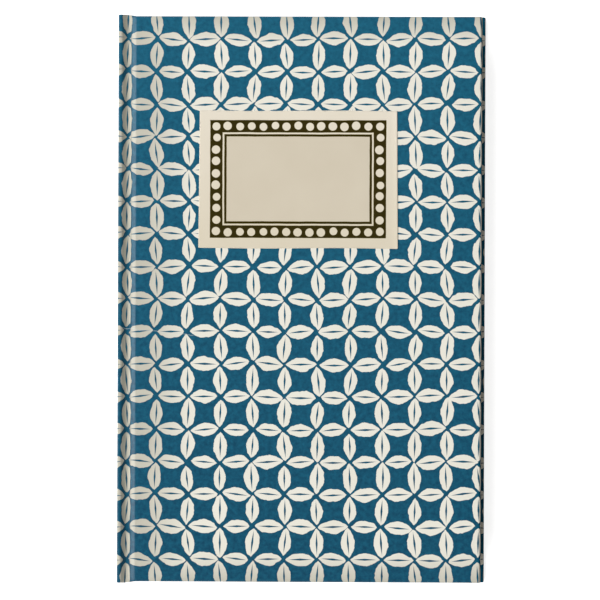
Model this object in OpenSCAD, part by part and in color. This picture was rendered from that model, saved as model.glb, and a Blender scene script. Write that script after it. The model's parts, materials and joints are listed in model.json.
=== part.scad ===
// Hardcover notebook: a case-bound block of sewn sections, closed and lying on its back cover.
// X runs from the spine to the fore edge, Y from tail to head, Z up from the back cover.
// The origin is on the resting face, at the middle of the outline.

/* [Covers] */
// Width from the back of the spine to the fore edge of the covers
cover_w = 134.8; // [100:0.1:180]
// Height of the two covers from tail to head
cover_h = 208.8; // [150:0.1:300]
// Thickness of the grey board in each cover
board_t = 2.2; // [1.6:0.1:3.5]
// Thickness of the printed cover paper
paper_t = 0.2; // [0.1:0.05:0.3]
// Width of the cover paper turned in over the edges of the boards
turn_in = 15; // [8:0.5:20]
// Radius of the cover edges, measured on the paper
edge_r = 0.7; // [0.5:0.05:0.9]
// Radius of the cover corners, seen from the front
corner_r = 1; // [0.6:0.1:3]

/* [Spine] */
// Thickness of the spine board, whose long edges are fully rounded
spine_t = 1.6; // [1.2:0.1:2.2]
// How far the spine reaches past the covers at head and at tail
spine_over = 0.6; // [0:0.1:1.5]
// Distance from the fold line of the spine to the edge of a board
groove_w = 5.8; // [4.8:0.1:8]
// Width of the slope from the bottom of the groove up to the board
groove_rise = 3; // [2:0.1:3.4]
// Radius at the foot of the groove, on the spine side
groove_fillet = 0.5; // [0.2:0.05:0.7]
// Clearance between the turned-in spine paper and the lining
hollow_clear = 0.2; // [0.1:0.05:1]

/* [Text block] */
// Number of sewn sections
section_count = 12; // [4:2:20]
// Folded sheets in each section
sheets_per_section = 4; // [2:1:8]
// Thickness of a leaf
leaf_t = 0.1; // [0.07:0.01:0.15]
// Air between neighbouring leaves
leaf_gap = 0.01; // [0.005:0.005:0.03]
// How far the covers stand out past the leaves
square = 3; // [2:0.5:6]
// Thickness of an endpaper
endpaper_t = 0.15; // [0.1:0.01:0.25]
// Air on the free side of a flyleaf
endpaper_gap = 0.02; // [0.01:0.01:0.05]
// Margin of turned-in cover paper left bare round a pastedown
pastedown_inset = 2; // [1:0.5:4]

/* [Backing] */
// Thickness of the gauze mull
mull_t = 0.15; // [0.1:0.05:0.3]
// Width of mull glued to each board
mull_lap = 14; // [8:1:25]
// Distance from the mull to the turned-in paper at head and tail
mull_clear = 2; // [1:0.5:6]
// Thickness of the spine lining paper
lining_t = 0.15; // [0.1:0.05:0.3]
// Diameter of the sewing thread
thread_d = 0.3; // [0.2:0.05:0.5]
// Clearance between the thread and the backs of the sections
thread_clear = 0.1; // [0.05:0.05:0.3]
// Number of sewing stations along the back
station_count = 6; // [4:1:8]
// Diameter of the headband and tailband bead
band_d = 1.6; // [1:0.1:1.9]
// Clearance between a bead and the ends of the leaves
band_clear = 0.1; // [0.05:0.05:0.4]

/* [Label] */
// Width of the label at its head edge
label_w = 73.2; // [40:0.1:90]
// Extra width of the label at its tail edge, from hand cutting
label_flare = 0.8; // [0:0.1:2]
// Height of the label
label_h = 50.8; // [25:0.1:80]
// Thickness of the label paper
label_t = 0.15; // [0.1:0.05:0.3]
// Distance from the back of the spine to the middle of the label
label_from_spine = 67.4; // [50:0.1:90]
// Distance from the head of the cover to the head of the label
label_from_head = 34.8; // [10:0.1:80]

/* [Hidden] */
$fn = 48;
// Depth of the cutters past the faces that they open
cut = 1;
// Steps in each rounded stretch of the groove
arc_steps = 10;

spine_x = -cover_w / 2;
fore_x = cover_w / 2;
fold_r = spine_t / 2 + paper_t;
fold_x = spine_x + fold_r;
board_x = fold_x + groove_w;
spine_h = cover_h + 2 * spine_over;

// The mull shares a layer with the turned-in paper under each pastedown
inner_t = max(paper_t, mull_t);
skin_t = board_t + 2 * paper_t;
cover_t = board_t + paper_t + inner_t;
leaf_pitch = leaf_t + leaf_gap;
section_pitch = 2 * sheets_per_section * leaf_pitch;
block_z = cover_t + 2 * endpaper_t + 2 * endpaper_gap;
total_t = 2 * block_z + section_count * section_pitch;

// Layers behind the sections, from the spine board inwards
lining_x = fold_x + spine_t / 2 + paper_t + hollow_clear;
mull_x = lining_x + lining_t;
thread_x = mull_x + mull_t + thread_d / 2;
block_x = thread_x + thread_d / 2 + thread_clear;
leaf_x = fore_x - square;
leaf_h = cover_h - 2 * square;
mull_h = cover_h - 2 * turn_in - 2 * mull_clear;
back_h = section_count * section_pitch;

function section_name(i) = str("section_", i < 10 ? "0" : "", i);

// A shape drawn in X and Z, drawn out along Y
module along_y(length) {
    rotate([90, 0, 0]) translate([0, 0, -length / 2]) linear_extrude(length) children();
}

// A shape drawn in Y and Z, drawn out along X
module along_x(x0, x1) {
    translate([x0, 0, 0]) rotate([90, 0, 90]) linear_extrude(x1 - x0) children();
}

// The same piece on the back cover
module on_back() {
    translate([0, 0, total_t]) mirror([0, 0, 1]) children();
}

// The same piece at the tail
module at_tail() {
    mirror([0, 1, 0]) children();
}

// Rectangle with rounded corners on its right side, and on its left side too if asked
module soft_rectangle(x0, x1, y0, y1, r, both_sides = false) {
    left = both_sides ? x0 + r : x0;
    translate([left, y0]) square([x1 - r - left, y1 - y0]);
    translate([x0, y0 + r]) square([x1 - x0, y1 - y0 - 2 * r]);
    for (y = [y0 + r, y1 - r]) {
        translate([x1 - r, y]) circle(r);
        if (both_sides) translate([x0 + r, y]) circle(r);
    }
}

// Slab of a cover with every edge rounded but the one beside the groove, set in from the paper's face
module cover_slab(inset, x0 = board_x) {
    x1 = fore_x - inset;
    y1 = cover_h / 2 - inset;
    z0 = total_t - skin_t + inset;
    z1 = total_t - inset;
    intersection() {
        translate([0, 0, z0]) linear_extrude(z1 - z0) soft_rectangle(x0, x1, -y1, y1, corner_r - inset);
        along_y(2 * y1) soft_rectangle(x0, x1, z0, z1, edge_r - inset);
        along_x(x0, x1) soft_rectangle(-y1, y1, z0, z1, edge_r - inset, true);
    }
}

module board() {
    color("#8c8679") cover_slab(paper_t);
}

// Printed paper over a board, turned in over its three free edges
module cover_paper() {
    window_x = fore_x - turn_in;
    window_h = cover_h - 2 * turn_in;
    color("#1f5a74") difference() {
        cover_slab(0);
        cover_slab(paper_t, board_x - cut);
        translate([board_x - cut, -window_h / 2, total_t - skin_t - cut])
            cube([window_x - board_x + cut, window_h, cut + 2 * paper_t]);
    }
}

function arc_points(x, z, r, a0, a1) =
    [for (i = [0 : arc_steps]) let (a = a0 + (a1 - a0) * i / arc_steps) [x + r * cos(a), z + r * sin(a)]];

// The groove, as points on one face of its paper: down the spine's edge, along the bottom
// and up the slope to the board. The offset is 0 for the outer face and 1 for the inner one.
function groove_points(offset) =
    let (
        shift = offset * paper_t,
        wall_x = fold_x + fold_r - shift,
        middle_z = total_t - fold_r,
        floor_z = total_t - board_t - shift,
        fillet = min(groove_fillet, middle_z - floor_z - shift) + shift,
        slope = 2 * atan(board_t / groove_rise),
        bend_r = board_t / (2 * (1 - cos(slope))),
        foot_x = board_x - groove_rise
    )
    concat(
        [[wall_x, middle_z]],
        arc_points(wall_x + fillet, floor_z + fillet, fillet, 180, 270),
        arc_points(foot_x, floor_z + bend_r + shift, bend_r + shift, 270, 270 + slope),
        arc_points(board_x, total_t - bend_r, bend_r - shift, 90 + slope, 90)
    );

function reversed(points) = [for (i = [len(points) - 1 : -1 : 0]) points[i]];

module joint_paper() {
    color("#1b4f67") along_y(cover_h) polygon(concat(groove_points(0), reversed(groove_points(1))));
}

// Long outline of the spine, rounded at both folds
module spine_outline(r) {
    translate([fold_x - r, fold_r]) square([2 * r, total_t - 2 * fold_r]);
    for (z = [fold_r, total_t - fold_r]) translate([fold_x, z]) circle(r);
}

module spine_board() {
    color("#8c8679") along_y(spine_h - 2 * paper_t) spine_outline(spine_t / 2);
}

module spine_cover_paper() {
    strip_z = fold_r + board_t;
    color("#1f5a74") {
        difference() {
            along_y(spine_h) spine_outline(fold_r);
            along_y(spine_h - 2 * paper_t) {
                spine_outline(spine_t / 2);
                translate([fold_x, fold_r]) square([2 * fold_r, total_t - 2 * fold_r]);
            }
        }
        for (end = [0, 1]) mirror([0, end, 0])
            translate([fold_x + spine_t / 2, spine_h / 2 - turn_in, strip_z])
                cube([paper_t, turn_in, total_t - 2 * strip_z]);
    }
}

// Sheet folded once at the back of the block, with its two leaves either side of middle_z
module folded_sheet(outer, thickness, middle_z, centre_x) {
    inner = outer - thickness;
    along_y(leaf_h) translate([0, middle_z]) difference() {
        union() {
            translate([centre_x, 0]) circle(outer);
            translate([centre_x, -outer]) square([leaf_x - centre_x, 2 * outer]);
        }
        translate([centre_x, 0]) circle(inner);
        translate([centre_x, -inner]) square([leaf_x - centre_x + cut, 2 * inner]);
    }
}

// Section i of nested folded sheets, counted from the front cover
module section(i) {
    middle_z = total_t - block_z - (i - 0.5) * section_pitch;
    centre_x = block_x + section_pitch / 2;
    color("#efe8d6") for (k = [1 : sheets_per_section])
        folded_sheet(k * leaf_pitch - leaf_gap / 2, leaf_t, middle_z, centre_x);
}

// One folded sheet: the pastedown on the board and the flyleaf under it
module endpaper() {
    fold = endpaper_t + endpaper_gap / 2;
    top_z = total_t - cover_t;
    paste_h = cover_h - 2 * pastedown_inset;
    color("#ece4d0") {
        folded_sheet(fold, endpaper_t, top_z - fold, block_x + fold);
        translate([block_x + fold, -paste_h / 2, top_z - endpaper_t])
            cube([fore_x - pastedown_inset - block_x - fold, paste_h, endpaper_t]);
    }
}

module mull_flange() {
    flange_x = board_x + mull_lap - block_x;
    color("#d8d2c0") translate([block_x, -mull_h / 2, total_t - paper_t - board_t - mull_t])
        cube([flange_x, mull_h, mull_t]);
}

module spine_mull() {
    color("#d8d2c0") translate([mull_x, -mull_h / 2, block_z]) cube([mull_t, mull_h, back_h]);
}

module spine_lining() {
    color("#b39a74") translate([lining_x, -leaf_h / 2, block_z]) cube([lining_t, leaf_h, back_h]);
}

// A chain of stitches across the sections at each sewing station
module sewing_thread() {
    pitch = mull_h / station_count;
    color("#f3f0e6") for (i = [0 : station_count - 1])
        translate([thread_x, (i + 0.5) * pitch - mull_h / 2, block_z]) cylinder(h = back_h, d = thread_d);
}

// A corded bead at the end of the leaves, on a tape glued to the back of the sections
module end_band() {
    tape_y = mull_h / 2 + mull_clear;
    bead_y = leaf_h / 2 + band_clear + band_d / 2;
    color("#e9e4d6") {
        translate([mull_x, tape_y, block_z]) cube([mull_t, bead_y - tape_y, back_h]);
        translate([mull_x + band_d / 2, bead_y, block_z]) cylinder(h = back_h, d = band_d);
    }
}

// Paper label on the front cover, a little wider at its tail edge
module front_label() {
    centre_x = spine_x + label_from_spine;
    head_y = cover_h / 2 - label_from_head;
    tail_half = (label_w + label_flare) / 2;
    color("#ddd2bc") translate([centre_x, head_y, total_t]) linear_extrude(label_t)
        polygon([[-label_w / 2, 0], [label_w / 2, 0], [tail_half, -label_h], [-tail_half, -label_h]]);
}

board();  // front_board
cover_paper();  // front_cover_paper
front_label();
mull_flange();  // front_mull_flange
endpaper();  // front_endpaper
spine_board();
spine_cover_paper();
joint_paper();  // front_joint_paper
on_back() joint_paper();  // back_joint_paper
spine_mull();
spine_lining();
sewing_thread();
end_band();  // headband
at_tail() end_band();  // tailband
on_back() board();  // back_board
on_back() cover_paper();  // back_cover_paper
on_back() mull_flange();  // back_mull_flange
on_back() endpaper();  // back_endpaper
for (i = [1 : section_count]) section(i);
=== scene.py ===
"""Dresses the hardcover notebook: printed covers, label, endpapers, sewn leaves and bands."""
import json
import math
import random

import bmesh
import bpy
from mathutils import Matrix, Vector


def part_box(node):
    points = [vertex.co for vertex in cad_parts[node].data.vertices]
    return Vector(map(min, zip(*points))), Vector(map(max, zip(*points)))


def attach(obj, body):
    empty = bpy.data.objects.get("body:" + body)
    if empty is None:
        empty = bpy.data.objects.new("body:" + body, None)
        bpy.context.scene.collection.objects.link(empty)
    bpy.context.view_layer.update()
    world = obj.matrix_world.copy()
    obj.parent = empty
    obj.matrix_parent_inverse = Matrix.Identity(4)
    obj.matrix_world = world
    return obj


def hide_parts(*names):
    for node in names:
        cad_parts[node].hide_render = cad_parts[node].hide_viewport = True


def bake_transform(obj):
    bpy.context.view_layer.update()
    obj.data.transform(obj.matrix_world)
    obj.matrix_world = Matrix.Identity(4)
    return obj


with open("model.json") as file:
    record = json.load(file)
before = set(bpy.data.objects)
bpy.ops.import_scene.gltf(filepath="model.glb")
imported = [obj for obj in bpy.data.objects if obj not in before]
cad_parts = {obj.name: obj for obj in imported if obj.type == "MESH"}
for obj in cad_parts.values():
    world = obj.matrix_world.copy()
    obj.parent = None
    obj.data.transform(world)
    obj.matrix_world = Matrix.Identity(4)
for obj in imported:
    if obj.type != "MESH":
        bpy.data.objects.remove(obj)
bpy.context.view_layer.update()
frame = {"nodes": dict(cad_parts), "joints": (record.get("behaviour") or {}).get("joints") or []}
scene = bpy.context.scene

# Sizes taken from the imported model, in metres; the hinges lie half way through the covered spine
MM = 0.001
hinges = {joint["name"]: joint for joint in frame["joints"]}
paper_low, paper_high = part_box("front_cover_paper")
board_low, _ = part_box("front_board")
spine_low, spine_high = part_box("spine_cover_paper")
label_low, label_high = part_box("front_label")
end_low, end_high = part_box("front_endpaper")
leaf_low, leaf_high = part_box("section_01")
band_low, band_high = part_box("headband")

THICKNESS = spine_high.z
COVER_H = paper_high.y - paper_low.y
SPINE_H = spine_high.y - spine_low.y
SKIN_T = THICKNESS - paper_low.z
SPINE_T = 2 * hinges["back_joint"]["pos_m"][2]
SPINE_X = spine_low.x
SPINE_IN = SPINE_X + SPINE_T
BLOCK_X = leaf_low.x
BOARD_X = board_low.x
FORE_X = paper_high.x
SECTIONS = sorted(name for name in frame["nodes"] if name.startswith("section_"))

# Folded sheets to a section, the thickness of a leaf and of an endpaper, and how far trim and tone vary
SHEETS = 4
LEAF_T = 0.1 * MM
END_T = 0.15 * MM
TRIM_Y = 0.16 * MM
TRIM_X = 0.14 * MM
TONE_SPAN = 0.35

# The cover paper bends between the back of the leaves and the boards, the leaves over a longer way
JOINT_END = BOARD_X
GUTTER_END = BLOCK_X + 15 * MM

# The pressed groove: its depth and the thickness left under it, then from the spine the shoulder, the foot
# of the steep wall, the end of the flat floor, the top of a short rise, and the end of a slope to the board
GROOVE_D = 2.0 * MM
GROOVE_T = 0.35 * MM
SHOULDER_X = SPINE_X + 1.4 * MM
WALL_X = SPINE_X + 3.1 * MM
FLOOR_X = BOARD_X - 2.3 * MM
RISE_X = BOARD_X - 1.85 * MM
RISE_D = 0.69 * MM
SLOPE_X = BOARD_X - 0.15 * MM

# How far the covering is rounded at the spine, in the groove, on the board, and at the fore edge out and in
SPINE_R = 0.6 * MM
GROOVE_R = 0.5 * MM
RISE_R = 0.25 * MM
SLOPE_R = 0.4 * MM
FORE_R = 0.8 * MM
INNER_R = 0.5 * MM
ROUND_STEPS = 9

# Where the covering starts to grow thicker to the board, and how far it takes there and at the spine
RAMP_X = BOARD_X - 2.35 * MM
BOARD_RAMP = 2.1 * MM
SPINE_RAMP = 0.9 * MM

# The rolled edge of the paper at head and tail, and the most of the thickness that it may take
ROLL_R = 0.6 * MM
ROLL_SHARE = 0.18
ROLL_STEPS = 5

# The cover print: petals of crossing circles, 12 mm from centre to centre, each with a vein
PETAL_PITCH = 12 * MM
PETAL_LONG = 4.9 * MM
PETAL_WIDE = 2.2 * MM
PETAL_TIP = 0.3 * MM
PETAL_EDGE = 0.06 * MM
VEIN_R = 0.38 * MM
VEIN_EDGE = 0.04 * MM
VEIN_TAPER = 0.09

# The hand in the print: the span and the reach of its slow wander and of its wobble, and how much each
# petal leans, slips along its line and changes in size
WANDER_SPAN = 26 * MM
WANDER = 2 * MM
WOBBLE_SPAN = 3.2 * MM
WOBBLE = 0.3 * MM
PETAL_LEAN = 0.13
PETAL_SLIP = 0.3 * MM
PETAL_LARGE = 0.94
PETAL_SMALL = 1.1

# Most values of a noise lie between these
NOISE_LOW = 0.3
NOISE_HIGH = 0.7

# Along the paper from the middle of the spine: the joint and the fore edge, how far painted shade darkens
# the bare paper at the joint and at the ends, and how wide the fore edge is rubbed matt
JOINT_U = 16.5 * MM
FORE_U = 144 * MM
SHADE_REACH = 24 * MM
SHADE_ENDS = 11 * MM
RUBBED_W = 1 * MM

# The gloss of the cover paper, and how much paler the ink is at the head than at the tail
COVER_GLOSS = 0.23
INK_FADE = 0.6

# The scratch: where it starts and stops along the paper, how far it fades at both, its slope, its height at
# the middle of the spine, and its half width outside and inside
SCRATCH_START = 9 * MM
SCRATCH_STOP = 39 * MM
START_FADE = 2 * MM
STOP_FADE = 3 * MM
SCRATCH_SLOPE = 0.0986
SCRATCH_V = -9.6 * MM
SCRATCH_OUT = 0.16 * MM
SCRATCH_IN = 0.04 * MM

# The label's border, with the stray of its pearls as a share of their pitch and the spread of their size
PEARL_PITCH = 4.335 * MM
PEARL_R = 1.56 * MM
PEARL_LESS = 0.14 * MM
PEARL_MORE = 0.1 * MM
PEARL_STRAY = 0.12
PEARLS_ACROSS = 15
PEARLS_DOWN = 10
BORDER_W = 4.6 * MM
RULE_GAP = 0.7 * MM
RULE_W = 0.8 * MM
INK_EDGE = 0.1 * MM
BORDER_WANDER = 0.25 * MM
BORDER_SPAN = 6 * MM

# Painted light: how much paler the label's paper is made at the head than at the tail
LABEL_PAINTED_LIGHT = 1.4

# Stuck on by hand: how far the label lies off its place, and the border off the middle of the label
LABEL_OFF = Vector((-0.46 * MM, 0, 0))
BORDER_OFF = Vector((-0.07 * MM, 0.19 * MM))

# The label's outline: narrower at the head, wavy at the ends, round at the corners
LABEL_TAPER = 0.8 * MM
LABEL_WAVE = 0.12 * MM
WAVE_SPAN = 9 * MM
LABEL_CORNER = 0.35 * MM

# The label's edge, worn thin all round and lifted on the fore side
LABEL_SLOPE = 0.3 * MM
LABEL_EDGE = 0.03 * MM
LABEL_LIFT = 0.3 * MM
LIFT_REACH = 3 * MM
LIFT_END = 0.4 * MM

# The head and tail bands: a bar, the turns of the winding and how deep they cut, and the tape
BAND_BAR = 1.3 * MM
BAND_TURNS = 22
BAND_DENT = 0.05
TAPE_T = 0.15 * MM

# The background paper: half its side, its gap under the notebook, and its glow to the eye
FLOOR_HALF = 10.0
FLOOR_GAP = 0.3 * MM
FLOOR_GLOW = 0.75

# The lamps' distance over and beside the notebook, how far those at the ends stand to the spine, their tilt
# in degrees, and the light all round
LAMP_D = 2.3
LAMP_SHIFT = 0.9
LAMP_TILT = 45
WORLD_LIGHT = 0.2

# The camera's distance, its lean and its roll, the width it sees, and what it points at
CAMERA_D = 8.0
CAMERA_LEAN = math.radians(5.5)
CAMERA_ROLL = math.radians(0.2)
FRAME_W = 221.5 * MM
CAMERA_AIM = Vector((0.34 * MM, -0.27 * MM, THICKNESS))


def colour(text):
    """Linear colour of an sRGB hex value."""
    parts = [int(text[i:i + 2], 16) / 255 for i in (1, 3, 5)]
    return [c / 12.92 if c <= 0.04045 else ((c + 0.055) / 1.055) ** 2.4 for c in parts] + [1.0]


def put(tree, socket, value):
    """Gives an input its value, or links a node or a socket to it."""
    if isinstance(value, bpy.types.Node):
        value = next(output for output in value.outputs if output.enabled)
    if isinstance(value, bpy.types.NodeSocket):
        tree.links.new(value, socket)
    else:
        socket.default_value = value


def add(tree, kind, *values, **settings):
    """Adds one shader node: its settings by name, then values, nodes or sockets for its inputs in order."""
    node = tree.nodes.new("ShaderNode" + kind)
    for name, value in settings.items():
        setattr(node, name, value)
    inputs = [socket for socket in node.inputs if socket.enabled]
    for socket, value in zip(inputs, values):
        put(tree, socket, value)
    return node


def blank(name):
    """A material with an empty node tree."""
    material = bpy.data.materials.new(name)
    material.use_nodes = True
    material.node_tree.nodes.clear()
    return material, material.node_tree


def surface(material, base, roughness, gloss, grain, depth, glow=0.0):
    """Ends a material: its colour, roughness, gloss, a grain with its depth in metres, and any glow."""
    tree = material.node_tree
    relief = add(tree, "Bump")
    put(tree, relief.inputs["Distance"], depth)
    put(tree, relief.inputs["Height"], grain)
    shader = add(tree, "BsdfPrincipled", base)
    put(tree, shader.inputs["Roughness"], roughness)
    put(tree, shader.inputs["IOR"], 1.5)
    put(tree, shader.inputs["Specular IOR Level"], gloss)
    put(tree, shader.inputs["Normal"], relief)
    put(tree, shader.inputs["Emission Color"], (1, 1, 1, 1))
    put(tree, shader.inputs["Emission Strength"], glow)
    add(tree, "OutputMaterial", shader)
    return material


def printed_paper():
    """Satin art paper in one blue ink, mottled and paler to the head: cream petals with hand-cut edges."""
    material, tree = blank("printed_satin_art_paper")
    place = add(tree, "UVMap", uv_map="unrolled")
    wander = add(tree, "TexNoise", place, 1 / WANDER_SPAN, 1.0)
    wander = add(tree, "VectorMath", wander.outputs["Color"], (0.5, 0.5, 0.5), operation="SUBTRACT")
    wander = add(tree, "VectorMath", wander, (WANDER, WANDER, 0.0), operation="MULTIPLY")
    drawn = add(tree, "VectorMath", place, wander, operation="ADD")
    wobble = add(tree, "TexNoise", drawn, 1 / WOBBLE_SPAN, 2.0)
    wobble = add(tree, "MapRange", wobble, NOISE_LOW, NOISE_HIGH, -WOBBLE, WOBBLE)

    # Each petal has a square cell that stands on its corner
    side = PETAL_PITCH / math.sqrt(2)
    eighth = math.pi / 4
    cells = add(tree, "Mapping", drawn, (0, 0, 0), (0, 0, eighth), (1 / side, 1 / side, 1 / side))
    cell = add(tree, "VectorMath", cells, operation="FLOOR")
    spot = add(tree, "VectorMath", cells, operation="FRACTION")
    spot = add(tree, "VectorMath", spot, (0.5, 0.5, 0.0), operation="SUBTRACT")
    chance = add(tree, "TexWhiteNoise", cell, noise_dimensions="3D")
    lean, size, slip = add(tree, "SeparateColor", chance.outputs["Color"]).outputs
    row, column, _ = add(tree, "SeparateXYZ", cell).outputs
    odd = add(tree, "Math", row, column, operation="ADD")
    odd = add(tree, "Math", odd, 2.0, operation="FLOORED_MODULO")
    lean = add(tree, "MapRange", lean, 0.0, 1.0, -eighth - PETAL_LEAN, -eighth + PETAL_LEAN)
    turn = add(tree, "Math", odd, math.pi / 2, lean, operation="MULTIPLY_ADD")
    spot = add(tree, "VectorRotate", spot, (0, 0, 0), turn, rotation_type="Z_AXIS")
    size = add(tree, "MapRange", size, 0.0, 1.0, PETAL_LARGE * side, PETAL_SMALL * side)
    spot = add(tree, "VectorMath", spot, size, operation="SCALE")
    along, across, _ = add(tree, "SeparateXYZ", spot).outputs
    slip = add(tree, "MapRange", slip, 0.0, 1.0, -PETAL_SLIP, PETAL_SLIP)
    along = add(tree, "Math", along, slip, operation="ADD")
    across = add(tree, "Math", across, operation="ABSOLUTE")

    # A petal is where two circles overlap, apart from its vein
    circle_r = (PETAL_LONG ** 2 + PETAL_WIDE ** 2) / (2 * PETAL_WIDE)
    off = add(tree, "Math", across, circle_r - PETAL_WIDE, operation="ADD")
    reach = add(tree, "VectorMath", add(tree, "CombineXYZ", along, off, 0.0), operation="LENGTH")
    reach = add(tree, "Math", reach.outputs["Value"], circle_r + PETAL_TIP, operation="SUBTRACT")
    reach = add(tree, "Math", reach, wobble, operation="ADD")
    petal = add(tree, "MapRange", reach, PETAL_EDGE, -PETAL_EDGE)
    far = add(tree, "Math", along, operation="ABSOLUTE")
    vein = add(tree, "Math", far, VEIN_TAPER, across, operation="MULTIPLY_ADD")
    vein = add(tree, "MapRange", vein, VEIN_R - VEIN_EDGE, VEIN_R + VEIN_EDGE)
    petal = add(tree, "Math", petal, vein, operation="MULTIPLY")

    mottle = add(tree, "TexNoise", place, 1 / (1.6 * MM), 3.0, 0.6)
    mottle = add(tree, "MapRange", mottle, NOISE_LOW, NOISE_HIGH)
    u, v, _ = add(tree, "SeparateXYZ", place).outputs
    inking = add(tree, "Math", v, INK_FADE / COVER_H, mottle, operation="MULTIPLY_ADD")
    blue = add(tree, "Mix", inking, colour("#0A4963"), colour("#16607B"),
               data_type="RGBA", clamp_factor=False)
    cloud = add(tree, "TexNoise", place, 1 / (20 * MM), 2.0)
    cream = add(tree, "Mix", cloud, colour("#E5E1D2"), colour("#EFECE1"), data_type="RGBA")

    # Painted shade: the bare cream paper is darkened towards the joint, the head and the tail, in uneven
    # patches
    out = add(tree, "Math", u, operation="ABSOLUTE")
    joint = add(tree, "MapRange", out, JOINT_U + SHADE_REACH, JOINT_U, interpolation_type="SMOOTHSTEP")
    ends = add(tree, "Math", v, operation="ABSOLUTE")
    ends = add(tree, "MapRange", ends, COVER_H / 2 - SHADE_ENDS, COVER_H / 2)
    painted_shade = add(tree, "Math", joint, ends, operation="MAXIMUM")
    shade_patches = add(tree, "MapRange", cloud, NOISE_LOW, NOISE_HIGH, 0.8, 1.1)
    painted_shade = add(tree, "Math", painted_shade, shade_patches, operation="MULTIPLY")
    cream = add(tree, "Mix", painted_shade, cream, colour("#D3D2CD"), data_type="RGBA", blend_type="MULTIPLY")
    base = add(tree, "Mix", petal, blue, cream, data_type="RGBA")

    # One long fine scratch runs over the front from the spine
    slant = add(tree, "Math", u, SCRATCH_SLOPE, v, operation="MULTIPLY_ADD")
    slant = add(tree, "Math", slant, wobble, operation="ADD")
    slant = add(tree, "Math", slant, SCRATCH_V, operation="SUBTRACT")
    slant = add(tree, "Math", slant, operation="ABSOLUTE")
    scratch = add(tree, "MapRange", slant, SCRATCH_OUT, SCRATCH_IN)
    stop = add(tree, "MapRange", u, SCRATCH_STOP, SCRATCH_STOP - STOP_FADE)
    start = add(tree, "MapRange", u, SCRATCH_START, SCRATCH_START + START_FADE)
    scratch = add(tree, "Math", scratch, stop, operation="MULTIPLY")
    scratch = add(tree, "Math", scratch, start, operation="MULTIPLY")
    scratch = add(tree, "Math", scratch, mottle, operation="MULTIPLY")
    base = add(tree, "Mix", scratch, base, colour("#C9D3D2"), data_type="RGBA")

    # The fore edges are rubbed matt
    gloss = add(tree, "MapRange", out, FORE_U - RUBBED_W, FORE_U, COVER_GLOSS, 0.0)
    grain = add(tree, "TexNoise", place, 1 / (0.7 * MM), 3.0)
    return surface(material, base, roughness=0.32, gloss=gloss, grain=grain, depth=0.012 * MM)


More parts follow.
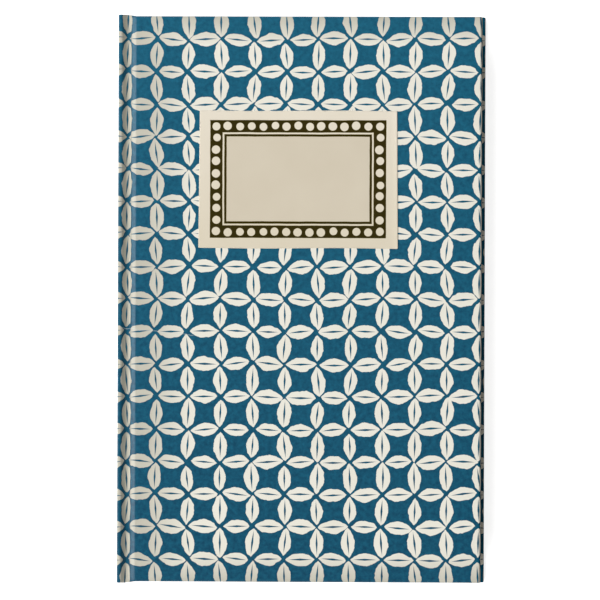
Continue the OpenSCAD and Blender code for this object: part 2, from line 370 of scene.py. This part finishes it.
def label_paper():
    """Dull cream wove paper, made paler to the head as painted light, with a border of pearls and a thin
    rule in dark ink.
    """
    material, tree = blank("printed_wove_label_paper")
    place = add(tree, "UVMap", uv_map="flat")
    wander = add(tree, "TexNoise", place, 1 / BORDER_SPAN, 1.0)
    wander = add(tree, "VectorMath", wander.outputs["Color"], (0.5, 0.5, 0.5), operation="SUBTRACT")
    wander = add(tree, "VectorMath", wander, (BORDER_WANDER, BORDER_WANDER, 0.0), operation="MULTIPLY")
    drawn = add(tree, "VectorMath", place, wander, operation="ADD")
    left, up, _ = add(tree, "SeparateXYZ", drawn).outputs
    half_w = ((PEARLS_ACROSS - 1) * PEARL_PITCH + BORDER_W) / 2
    half_h = ((PEARLS_DOWN - 1) * PEARL_PITCH + BORDER_W) / 2
    left = add(tree, "Math", add(tree, "Math", left, operation="ABSOLUTE"), half_w, operation="SUBTRACT")
    up = add(tree, "Math", add(tree, "Math", up, operation="ABSOLUTE"), half_h, operation="SUBTRACT")
    reach = add(tree, "Math", left, up, operation="MAXIMUM")
    insets = (0.0, -BORDER_W, -BORDER_W - RULE_GAP, -BORDER_W - RULE_GAP - RULE_W)
    steps = [add(tree, "MapRange", reach, edge + INK_EDGE, edge - INK_EDGE) for edge in insets]
    border = add(tree, "Math", steps[0], steps[1], operation="SUBTRACT")
    rule = add(tree, "Math", steps[2], steps[3], operation="SUBTRACT")

    # One pearl to a square cell
    shift = (PEARLS_ACROSS / 2, PEARLS_DOWN / 2, 0.0)
    middle = 0.5 + PEARL_STRAY / 2
    cells = add(tree, "Mapping", drawn, shift, (0, 0, 0), (1 / PEARL_PITCH, 1 / PEARL_PITCH, 1.0))
    cell = add(tree, "VectorMath", cells, operation="FLOOR")
    chance = add(tree, "TexWhiteNoise", cell, noise_dimensions="3D")
    spot = add(tree, "VectorMath", cells, operation="FRACTION")
    slip = (PEARL_STRAY, PEARL_STRAY, 0.0)
    slip = add(tree, "VectorMath", chance.outputs["Color"], slip, operation="MULTIPLY")
    spot = add(tree, "VectorMath", spot, slip, operation="ADD")
    spot = add(tree, "VectorMath", spot, (middle, middle, 0.0), operation="SUBTRACT")
    reach = add(tree, "VectorMath", spot, operation="LENGTH").outputs["Value"]
    reach = add(tree, "Math", reach, PEARL_PITCH, operation="MULTIPLY")
    size = add(tree, "MapRange", chance, 0.0, 1.0, PEARL_R - PEARL_LESS, PEARL_R + PEARL_MORE)
    reach = add(tree, "Math", reach, size, operation="SUBTRACT")
    ground = add(tree, "MapRange", reach, -INK_EDGE, INK_EDGE)
    border = add(tree, "Math", border, ground, operation="MULTIPLY")
    ink = add(tree, "Math", border, rule, operation="MAXIMUM")

    # The field inside the rule is a little darker, and thin ink at the edges shows olive
    cloud = add(tree, "TexNoise", place, 1 / (16 * MM), 2.0)
    # Painted light: the paper outside the rule is made paler towards the head
    height = add(tree, "SeparateXYZ", place).outputs["Y"]
    painted_light_rate = LABEL_PAINTED_LIGHT / (label_high.y - label_low.y)
    cloud_and_painted_light = add(tree, "Math", height, painted_light_rate, cloud, operation="MULTIPLY_ADD")
    paper = add(tree, "Mix", cloud_and_painted_light, colour("#DCD2BD"), colour("#E3DAC8"),
                data_type="RGBA", clamp_factor=False)
    panel = add(tree, "Mix", cloud, colour("#CEC3AE"), colour("#D6CCB8"), data_type="RGBA")
    paper = add(tree, "Mix", steps[2], paper, panel, data_type="RGBA")
    thin = add(tree, "MapRange", ink, 0.0, 0.5)
    paper = add(tree, "Mix", thin, paper, colour("#8A7A34"), data_type="RGBA")
    base = add(tree, "Mix", ink, paper, colour("#322A08"), data_type="RGBA")
    tooth = add(tree, "TexNoise", place, 1 / (0.5 * MM), 3.0)
    return surface(material, base, roughness=0.7, gloss=0.05, grain=tooth, depth=0.015 * MM)


def plain_paper(name, pale, deep):
    """Uncoated paper: matt, with faint clouds and short fibres, and each leaf a little apart in tone."""
    material, tree = blank(name)
    place = add(tree, "TexCoord").outputs["Object"]
    cloud = add(tree, "TexNoise", place, 1 / (14 * MM), 2.0)
    fibre = add(tree, "TexNoise", place, 1 / (0.5 * MM), 3.0)
    tone = add(tree, "Attribute", attribute_name="tone").outputs["Fac"]
    shade = add(tree, "Math", cloud, 0.4, tone, operation="MULTIPLY_ADD")
    shade = add(tree, "Math", fibre, 0.2, shade, operation="MULTIPLY_ADD", use_clamp=True)
    base = add(tree, "Mix", shade, colour(pale), colour(deep), data_type="RGBA")
    return surface(material, base, roughness=0.75, gloss=0.25, grain=fibre, depth=0.012 * MM)


def grey_board():
    """Millboard pressed from waste paper: dull grey with dark flecks about a millimetre long."""
    material, tree = blank("grey_millboard")
    place = add(tree, "TexCoord").outputs["Object"]
    pulp = add(tree, "TexNoise", place, 1 / (1.2 * MM), 4.0, 0.7)
    fleck = add(tree, "MapRange", pulp, 0.58, 0.66)
    base = add(tree, "Mix", pulp, colour("#7E786C"), colour("#9C9689"), data_type="RGBA")
    base = add(tree, "Mix", fleck, base, colour("#5C574E"), data_type="RGBA")
    return surface(material, base, roughness=0.9, gloss=0.25, grain=pulp, depth=0.04 * MM)


def gauze():
    """Starched cotton gauze: an open weave of pale threads 1 mm apart over the glue."""
    material, tree = blank("starched_cotton_gauze")
    place = add(tree, "TexCoord").outputs["Object"]
    spacing = 1 * MM
    warp = add(tree, "TexWave", place, math.tau / 20 / spacing, bands_direction="X")
    weft = add(tree, "TexWave", place, math.tau / 20 / spacing, bands_direction="Y")
    rib = add(tree, "Math", warp.outputs["Fac"], weft.outputs["Fac"], operation="MAXIMUM")
    base = add(tree, "Mix", rib, colour("#A79C82"), colour("#E3DCC9"), data_type="RGBA")
    return surface(material, base, roughness=0.85, gloss=0.25, grain=rib, depth=0.06 * MM)


def kraft_paper():
    """Brown kraft paper: smooth, with darker fibres."""
    material, tree = blank("brown_kraft_paper")
    place = add(tree, "TexCoord").outputs["Object"]
    fibre = add(tree, "TexNoise", place, 1 / (0.8 * MM), 4.0, 0.65)
    base = add(tree, "Mix", fibre, colour("#8F7350"), colour("#BFA377"), data_type="RGBA")
    return surface(material, base, roughness=0.6, gloss=0.4, grain=fibre, depth=0.012 * MM)


def linen_thread():
    """Waxed linen thread: two twisted plies with a faint gloss."""
    material, tree = blank("waxed_linen_thread")
    place = add(tree, "TexCoord").outputs["Object"]
    slant = add(tree, "Mapping", place, (0, 0, 0), (0.6, 0, 0))
    ply = add(tree, "TexWave", slant, math.tau / 20 / (0.3 * MM), bands_direction="Y")
    base = add(tree, "Mix", ply.outputs["Fac"], colour("#CFC8B3"), colour("#F0ECE0"), data_type="RGBA")
    return surface(material, base, roughness=0.5, gloss=0.5, grain=ply, depth=0.03 * MM)


def band_cotton():
    """Mercerised cotton wound round a cord: blue and cream bars with a soft gloss."""
    material, tree = blank("mercerised_cotton_band")
    place = add(tree, "TexCoord").outputs["Object"]
    height = add(tree, "SeparateXYZ", place).outputs["Z"]
    bar = add(tree, "Math", height, BAND_BAR, operation="PINGPONG")
    bar = add(tree, "MapRange", bar, 0.46 * BAND_BAR, 0.54 * BAND_BAR)
    fibre = add(tree, "TexNoise", place, 1 / (0.25 * MM), 2.0)
    blue = add(tree, "Mix", fibre, colour("#174C66"), colour("#2A6986"), data_type="RGBA")
    cream = add(tree, "Mix", fibre, colour("#D6CFBC"), colour("#F0EBDD"), data_type="RGBA")
    base = add(tree, "Mix", bar, blue, cream, data_type="RGBA")
    return surface(material, base, roughness=0.5, gloss=0.5, grain=fibre, depth=0.02 * MM)


def paper_sweep():
    """Matt background paper: white and overlit to the eye, but too grey to throw light at the notebook."""
    material, tree = blank("matt_background_paper")
    path = add(tree, "LightPath").outputs
    seen = add(tree, "Math", path["Is Camera Ray"], path["Is Glossy Ray"], operation="MAXIMUM")
    seen = add(tree, "Math", seen, path["Is Transmission Ray"], operation="MAXIMUM")
    place = add(tree, "TexCoord").outputs["Object"]
    tooth = add(tree, "TexNoise", place, 1 / (0.8 * MM), 2.0)
    base = add(tree, "Mix", seen, colour("#9A9A9A"), colour("#FFFFFF"), data_type="RGBA")
    glow = add(tree, "Math", seen, FLOOR_GLOW, operation="MULTIPLY")
    return surface(material, base, roughness=1.0, gloss=0.0, grain=tooth, depth=0.01 * MM, glow=glow)


def ease(value):
    """0 up to 0, 1 from 1 on, and smooth between."""
    t = min(max(value, 0.0), 1.0)
    return t * t * (3 - 2 * t)


def cut(bm, axis, places):
    """Cuts a mesh across one axis at each place."""
    normal = Vector((axis == "x", axis == "y", axis == "z"))
    for place in places:
        geom = bm.verts[:] + bm.edges[:] + bm.faces[:]
        bmesh.ops.bisect_plane(bm, geom=geom, dist=1e-8, plane_co=normal * place, plane_no=normal)


def spread(low, high, count):
    """Evenly spaced places between low and high, without the ends."""
    return [low + (high - low) * i / count for i in range(1, count)]


def pull(bm, way):
    """Draws all the faces of a flat mesh out into a solid, and gives back the points that moved."""
    grown = bmesh.ops.extrude_face_region(bm, geom=bm.faces[:])["geom"]
    moved = [item for item in grown if isinstance(item, bmesh.types.BMVert)]
    bmesh.ops.translate(bm, vec=way, verts=moved)
    return moved


def soften(bm, points, radius, steps):
    """Rounds corners of a flat mesh."""
    bmesh.ops.bevel(bm, geom=points, offset=radius, offset_type="OFFSET", segments=steps, profile=0.5,
                    affect="VERTICES", material=-1)


def piece(bm, name, material, sharp=40):
    """Turns a mesh in the making into an object, smooth except at edges sharper than the given angle."""
    bm.normal_update()
    bmesh.ops.recalc_face_normals(bm, faces=bm.faces[:])
    mesh = bpy.data.meshes.new(name)
    bm.to_mesh(mesh)
    bm.free()
    mesh.shade_smooth()
    mesh.set_sharp_from_angle(angle=math.radians(sharp))
    mesh.materials.append(material)
    made = bpy.data.objects.new(name, mesh)
    scene.collection.objects.link(made)
    return made


def covering(side):
    """One cover's paper in section, over half of the spine, through the groove and round the board."""
    # The place, the depth under the face of the cover and the rounding of each corner
    corners = [
        (SPINE_X, THICKNESS / 2, 0),
        (SPINE_X, 0, SPINE_R),
        (SHOULDER_X, 0, GROOVE_R),
        (WALL_X, GROOVE_D, GROOVE_R),
        (FLOOR_X, GROOVE_D, RISE_R),
        (RISE_X, RISE_D, RISE_R),
        (SLOPE_X, 0, SLOPE_R),
        (FORE_X, 0, FORE_R),
        (FORE_X, SKIN_T, INNER_R),
        (BOARD_X, SKIN_T, 0),
        (BOARD_X, GROOVE_D + GROOVE_T, 0),
        (SPINE_IN, GROOVE_D + GROOVE_T, 0),
        (SPINE_IN, THICKNESS / 2, 0),
    ]
    bm = bmesh.new()
    points = [bm.verts.new((x, -COVER_H / 2, depth)) for x, depth, _ in corners]
    bm.faces.new(points)
    start = points[0].co.copy()
    for point, (_, _, radius) in zip(points, corners):
        if radius:
            soften(bm, [point], radius, ROUND_STEPS)

    # How far each point lies along the paper, for the print
    bm.faces.ensure_lookup_table()
    unrolled = bm.verts.layers.float.new("unrolled")
    loop = min(bm.faces[0].loops, key=lambda l: (l.vert.co - start).length)
    ahead = loop.link_loop_next.vert.co
    forward = abs(ahead.x - start.x) < abs(ahead.z - start.z) / 1e3
    length = 0.0
    for _ in range(len(bm.faces[0].verts)):
        loop.vert[unrolled] = length
        step = loop.link_loop_next if forward else loop.link_loop_prev
        length += (step.vert.co - loop.vert.co).length
        loop = step

    # Draw the section out to the height of the cover, with cuts where it will roll and bend
    pull(bm, (0, COVER_H, 0))
    rounds = [ROLL_R * (1 - math.cos(math.pi / 2 * i / ROLL_STEPS)) for i in range(1, ROLL_STEPS + 1)]
    cut(bm, "y", [sign * (COVER_H / 2 - r) for r in rounds for sign in (-1, 1)])
    cut(bm, "y", spread(-COVER_H / 2 + 2 * MM, COVER_H / 2 - 2 * MM, 24))
    cut(bm, "x", spread(BLOCK_X, JOINT_END, 12))
    cut(bm, "x", spread(JOINT_END + 2 * MM, FORE_X - 2 * MM, 16))
    bmesh.ops.recalc_face_normals(bm, faces=bm.faces[:])
    bm.normal_update()
    uv = bm.loops.layers.uv.new("unrolled")
    for face in bm.faces:
        flat = abs(face.normal.y) > 0.9
        for loop in face.loops:
            x, y, depth = loop.vert.co
            if flat:
                loop[uv].uv = (side * x, y + math.copysign(depth, y))
            else:
                loop[uv].uv = (side * loop.vert[unrolled], y)

    # Roll the head and tail edges, and let the spine stand out beyond the boards
    inward = {}
    for vert in bm.verts:
        normal = Vector((0, 0, 0))
        for face in vert.link_faces:
            if abs(face.normal.y) < 0.9:
                normal += face.normal
        if vert.co.z > THICKNESS / 2 - 0.01 * MM:
            normal.z = 0
        inward[vert] = -normal.normalized() if normal.length else normal
    for vert in bm.verts:
        x, y, _ = vert.co
        thick = GROOVE_T + (SKIN_T - GROOVE_T) * ease((x - RAMP_X) / BOARD_RAMP)
        thick = max(thick, SPINE_T * ease((SPINE_IN + SPINE_RAMP - x) / SPINE_RAMP))
        roll = min(ROLL_R, ROLL_SHARE * thick)
        rest = min(max((COVER_H / 2 - abs(y)) / ROLL_R, 0.0), 1.0)
        vert.co += inward[vert] * roll * (1 - math.sqrt(1 - (1 - rest) ** 2))
        longer = (SPINE_H / COVER_H - 1) * ease((JOINT_END - x) / (JOINT_END - SPINE_IN))
        vert.co.y = y * (1 + longer)
        if side > 0:
            vert.co.z = THICKNESS - vert.co.z
    return bm


def fold(bm, x, z, radius, height, reaches):
    """A folded sheet: a half turn round the fold line, and a leaf out to each reach, upper first."""
    ends = [bm.verts.new((x, sign * height / 2, z + radius)) for sign in (-1, 1)]
    first = bm.edges.new(ends)
    spun = bmesh.ops.spin(bm, geom=ends + [first], cent=(x, 0, z), axis=(0, -1, 0), angle=math.pi, steps=6)
    last = next(item for item in spun["geom_last"] if isinstance(item, bmesh.types.BMEdge))
    for edge, reach in zip((first, last), reaches):
        grown = bmesh.ops.extrude_edge_only(bm, edges=[edge])["geom"]
        moved = [item for item in grown if isinstance(item, bmesh.types.BMVert)]
        bmesh.ops.translate(bm, verts=moved, vec=(reach - x, 0, 0))


def section(name, chance):
    """One sewn section: nested folded sheets, each trimmed a hair differently and apart in tone."""
    low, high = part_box(name)
    pitch = (high.z - low.z - LEAF_T) / (2 * SHEETS - 1)
    middle = (low.z + high.z) / 2
    fold_x = low.x + (high.z - low.z) / 2
    bm = bmesh.new()
    tone = bm.faces.layers.float.new("tone")
    for sheet in range(SHEETS):
        known = set(bm.faces)
        height = high.y - low.y - chance.uniform(0, TRIM_Y)
        reaches = [high.x - chance.uniform(0, TRIM_X) for _ in range(2)]
        fold(bm, fold_x, middle, pitch * (sheet + 0.5) + LEAF_T / 2, height, reaches)
        shade = chance.uniform(0.0, TONE_SPAN)
        for face in set(bm.faces) - known:
            face[tone] = shade
    cut(bm, "x", spread(fold_x, GUTTER_END, 20))
    cut(bm, "x", [GUTTER_END, GUTTER_END + 2 * MM])
    bmesh.ops.recalc_face_normals(bm, faces=bm.faces[:])
    bmesh.ops.solidify(bm, geom=bm.faces[:], thickness=LEAF_T)
    return bm


def endpaper(side):
    """A folded endpaper: the larger leaf is pasted to the cover, the smaller lies free on the leaves."""
    thick = end_high.z - end_low.z
    middle = (end_low.z + end_high.z) / 2
    leaf_h = leaf_high.y - leaf_low.y
    bm = bmesh.new()
    fold(bm, end_low.x + thick / 2, middle, thick / 2, leaf_h, (end_high.x, leaf_high.x))
    cut(bm, "x", spread(end_low.x + thick / 2, JOINT_END, 10))
    cut(bm, "x", [JOINT_END, JOINT_END + 4 * MM])
    taller = (end_high.y - end_low.y) / leaf_h - 1
    for vert in bm.verts:
        if vert.co.z > middle:
            vert.co.y *= 1 + taller * ease((vert.co.x - end_low.x - thick) / (3 * MM))
    bmesh.ops.recalc_face_normals(bm, faces=bm.faces[:])
    bmesh.ops.solidify(bm, geom=bm.faces[:], thickness=END_T)
    if side < 0:
        bmesh.ops.scale(bm, vec=(1, 1, -1), verts=bm.verts[:])
        bmesh.ops.translate(bm, vec=(0, 0, THICKNESS), verts=bm.verts[:])
    return bm


def block(low, high):
    """A plain block between two corners."""
    bm = bmesh.new()
    bmesh.ops.create_cube(bm, size=1)
    bmesh.ops.scale(bm, vec=high - low, verts=bm.verts[:])
    bmesh.ops.translate(bm, vec=(low + high) / 2, verts=bm.verts[:])
    return bm


def label():
    """The label: a sheet a little wider at the tail, its edge worn thin and lifted on the fore side."""
    size = label_high - label_low
    centre = (label_low + label_high) / 2 + LABEL_OFF
    bm = bmesh.new()
    bmesh.ops.create_grid(bm, x_segments=1, y_segments=1, size=0.5)
    bmesh.ops.scale(bm, vec=(size.x, size.y, 1), verts=bm.verts[:])
    soften(bm, bm.verts[:], LABEL_CORNER, 4)
    cut(bm, "x", spread(-size.x / 2 + 1 * MM, size.x / 2 - 1 * MM, 18))
    cut(bm, "x", spread(size.x / 2 - LIFT_REACH, size.x / 2 - LIFT_END, 6))
    cut(bm, "y", spread(-size.y / 2 + 1 * MM, size.y / 2 - 1 * MM, 12))
    for vert in bm.verts:
        x, y, _ = vert.co
        vert.co.x = x * (1 - LABEL_TAPER / size.x * (y / size.y + 0.5))
        vert.co.y = y + LABEL_WAVE * math.sin(x / WAVE_SPAN) * abs(2 * y / size.y) ** 6
    uv = bm.loops.layers.uv.new("flat")
    for face in bm.faces:
        for loop in face.loops:
            loop[uv].uv = loop.vert.co.xy - BORDER_OFF

    # The top is drawn in a little from the edge, and the rim that is left sinks to the worn edge
    moved = pull(bm, (0, 0, size.z))
    top = [face for face in bm.faces if all(vert in moved for vert in face.verts)]
    bmesh.ops.inset_region(bm, faces=top, thickness=LABEL_SLOPE, use_even_offset=True)
    bm.normal_update()
    walls = [face for face in bm.faces if abs(face.normal.z) < 0.1]
    rim = {vert for face in walls for vert in face.verts if vert.co.z > size.z / 2}
    bmesh.ops.translate(bm, vec=(0, 0, LABEL_EDGE - size.z), verts=list(rim))
    for vert in bm.verts:
        vert.co.z += LABEL_LIFT * max((vert.co.x - size.x / 2) / LIFT_REACH + 1, 0) ** 2
    bmesh.ops.translate(bm, vec=(centre.x, centre.y, label_low.z), verts=bm.verts[:])
    return bm


def end_band(end):
    """A head or tail band: a wound cord across the end of the leaves, on a tape glued to their back."""
    low, high = band_low, band_high
    cord_r = (high.x - low.x) / 2
    axis = Vector(((low.x + high.x) / 2, high.y - cord_r, 0))
    bm = bmesh.new()
    ring = bmesh.ops.create_circle(bm, cap_ends=True, segments=16, radius=cord_r)["verts"]
    bmesh.ops.translate(bm, vec=(axis.x, axis.y, low.z), verts=ring)
    pull(bm, (0, 0, high.z - low.z))
    cut(bm, "z", spread(low.z, high.z, 4 * BAND_TURNS))
    for vert in bm.verts:
        turn = math.cos(math.tau * BAND_TURNS * (vert.co.z - low.z) / (high.z - low.z))
        arm = vert.co - axis
        arm.z = 0
        vert.co -= arm * BAND_DENT * (1 + turn)
    tape = block(Vector((low.x, low.y, low.z)), Vector((low.x + TAPE_T, high.y - cord_r, high.z)))
    strip = bpy.data.meshes.new("tape")
    tape.to_mesh(strip)
    tape.free()
    bm.from_mesh(strip)
    bpy.data.meshes.remove(strip)
    if end < 0:
        bmesh.ops.scale(bm, vec=(1, -1, 1), verts=bm.verts[:])
    return bm


# Materials
cover_print = printed_paper()
label_print = label_paper()
page_paper = plain_paper("uncoated_book_paper", "#F1EBDC", "#D9CFBA")
end_paper = plain_paper("uncoated_end_paper", "#EFE9DA", "#DDD3BF")
board_pulp = grey_board()
cotton_gauze = gauze()
brown_kraft = kraft_paper()
sewing_linen = linen_thread()
striped_cotton = band_cotton()

# Covers
for side, word, stands_for in (
    (1, "front", ("front_cover_paper", "front_joint_paper", "spine_cover_paper")),
    (-1, "back", ("back_cover_paper", "back_joint_paper")),
):
    made = piece(covering(side), word + "_covering", cover_print)
    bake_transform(made)
    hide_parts(*stands_for)

    made = piece(endpaper(side), word + "_endpaper_sheet", end_paper)
    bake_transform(made)
    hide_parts(word + "_endpaper")

    low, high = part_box(word + "_mull_flange")
    strip = block(low, high)
    cut(strip, "x", spread(low.x, JOINT_END, 10))
    made = piece(strip, word + "_mull_strip", cotton_gauze)
    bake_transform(made)
    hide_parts(word + "_mull_flange")

# Leaves, one piece for each section
chance = random.Random(7)
for number, name in enumerate(SECTIONS):
    made = piece(section(name, chance), name + "_sheets", page_paper)
    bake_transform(made)
    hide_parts(name)

# Label and bands
made = piece(label(), "front_label_sheet", label_print, sharp=15)
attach(made, "front_cover")
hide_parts("front_label")
for end, name in ((1, "headband"), (-1, "tailband")):
    made = piece(end_band(end), name + "_wound", striped_cotton)
    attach(made, "spine")
    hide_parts(name)

# Parts shown as they were packed
for name, material, slot in (
    ("front_board", board_pulp, "grey_board"),
    ("back_board", board_pulp, "grey_board"),
    ("spine_board", board_pulp, "grey_board"),
    ("spine_mull", cotton_gauze, "mull_gauze"),
    ("spine_lining", brown_kraft, "lining_paper"),
    ("sewing_thread", sewing_linen, "linen_thread"),
):
    node = frame["nodes"][name]
    node.data.materials.clear()
    node.data.materials.append(material)

# White paper under the notebook
sheet = bmesh.new()
bmesh.ops.create_grid(sheet, x_segments=1, y_segments=1, size=FLOOR_HALF)
bmesh.ops.translate(sheet, vec=(0, 0, -FLOOR_GAP), verts=sheet.verts[:])
floor_mesh = bpy.data.meshes.new("floor")
sheet.to_mesh(floor_mesh)
sheet.free()
floor_mesh.materials.append(paper_sweep())
floor = bpy.data.objects.new("floor", floor_mesh)
scene.collection.objects.link(floor)

# A soft lamp high on the spine side, weaker ones over the head and the tail, and a little light all round
for name, place, turn, size, watts in (
    ("spine_lamp", (-LAMP_D, 0, LAMP_D), (0, -LAMP_TILT, 0), (1.6, 1.6), 66),
    ("head_lamp", (-LAMP_SHIFT, LAMP_D, LAMP_D), (-LAMP_TILT, 0, 0), (1.2, 1.6), 34.8),
    ("tail_lamp", (-LAMP_SHIFT, -LAMP_D, LAMP_D), (LAMP_TILT, 0, 0), (1.2, 1.6), 37.2),
):
    lamp_data = bpy.data.lights.new(name, "AREA")
    lamp_data.shape = "RECTANGLE"
    lamp_data.size, lamp_data.size_y = size
    lamp_data.energy = watts
    lamp = bpy.data.objects.new(name, lamp_data)
    lamp.location = place
    lamp.rotation_euler = [math.radians(angle) for angle in turn]
    lamp.visible_camera = False
    scene.collection.objects.link(lamp)

world = bpy.data.worlds.new("studio")
world.use_nodes = True
world.node_tree.nodes["Background"].inputs["Color"].default_value = (1, 1, 1, 1)
world.node_tree.nodes["Background"].inputs["Strength"].default_value = WORLD_LIGHT
scene.world = world

# A very long lens far above, leaning a little towards the fore edge, the notebook a hair askew
camera_data = bpy.data.cameras.new("camera")
camera_data.lens = camera_data.sensor_width * CAMERA_D / FRAME_W
camera = bpy.data.objects.new("camera", camera_data)
camera.location = CAMERA_AIM + CAMERA_D * Vector((math.sin(CAMERA_LEAN), 0, math.cos(CAMERA_LEAN)))
camera.rotation_mode = "ZYX"
camera.rotation_euler = (0, CAMERA_LEAN, CAMERA_ROLL)
scene.collection.objects.link(camera)
scene.camera = camera
scene.view_settings.view_transform = "Standard"
